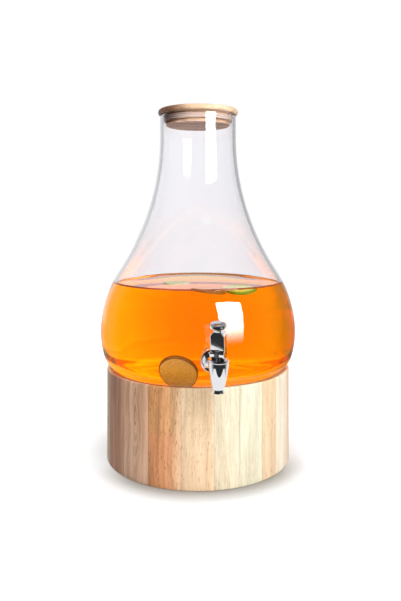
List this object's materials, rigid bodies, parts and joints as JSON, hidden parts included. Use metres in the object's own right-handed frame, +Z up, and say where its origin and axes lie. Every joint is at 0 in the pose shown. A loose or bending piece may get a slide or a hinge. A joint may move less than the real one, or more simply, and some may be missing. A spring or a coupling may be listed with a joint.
{
  "type": "glass beverage dispenser",
  "caption": "Flask-shaped glass drink dispenser with a wooden lid and a chrome lever tap, standing in a ring of wooden staves.",
  "frame": {"origin": "on the jar's axis, in the plane of the stand's underside", "axes": "+Z up the jar's axis, the tap towards -Y, +X to the right seen from the tap's side"},
  "size_m": [0.2136, 0.2673, 0.3802],
  "materials": {
    "stave_wood": "sanded, oiled, mixed pale staves",
    "lid_wood": "turned and sanded",
    "glass": "clear, blown",
    "silicone": "translucent silicone",
    "chrome": "polished plating",
    "nut_plastic": "moulded",
    "steel": "drawn and turned"
  },
  "bodies": {
    "stand": {"stave_01": "stave_wood", "stave_02": "stave_wood", "stave_03": "stave_wood", "stave_04": "stave_wood", "stave_05": "stave_wood", "stave_06": "stave_wood", "stave_07": "stave_wood", "stave_08": "stave_wood", "stave_09": "stave_wood", "stave_10": "stave_wood", "stave_11": "stave_wood", "stave_12": "stave_wood", "stave_13": "stave_wood", "stave_14": "stave_wood", "stave_15": "stave_wood", "stave_16": "stave_wood", "stave_17": "stave_wood", "stave_18": "stave_wood", "stave_19": "stave_wood", "stave_20": "stave_wood", "stave_21": "stave_wood"},
    "jar": {"glass_jar": "glass", "tap_body": "chrome", "outer_washer": "silicone", "inner_washer": "silicone", "lock_nut": "nut_plastic", "bonnet": "chrome", "valve_spring": "steel"},
    "lid": {"lid": "lid_wood", "lid_seal": "silicone"},
    "stem": {"valve_stem": "steel", "stem_ring": "silicone", "seat_seal": "silicone", "pivot_pin": "steel"},
    "lever": {"lever": "chrome"}
  },
  "joints": [
    {"name": "jar_lift", "type": "slide", "parent": "stand", "child": "jar", "axis": [0, 0, 1], "range_m": [0, 0.12]},
    {"name": "lid_lift", "type": "slide", "parent": "jar", "child": "lid", "axis": [0, 0, 1], "range_m": [0, 0.15]},
    {"name": "stem_slide", "type": "slide", "parent": "jar", "child": "stem", "axis": [0, -0.1095, 0.994], "range_m": [0, 0.00297], "deforming": ["valve_spring"]},
    {"name": "lever_pivot", "type": "hinge", "parent": "stem", "child": "lever", "pos_m": [0, -0.14618, 0.14227], "axis": [0.9135, -0.4043, -0.0445], "range_deg": [0, 85], "stiffness_Nm_per_rad": 0.02, "springref_deg": -28.65}
  ],
  "couplings": [
    {"joint": "lever_pivot", "follows": "stem_slide", "rad_per_m": 500}
  ]
}
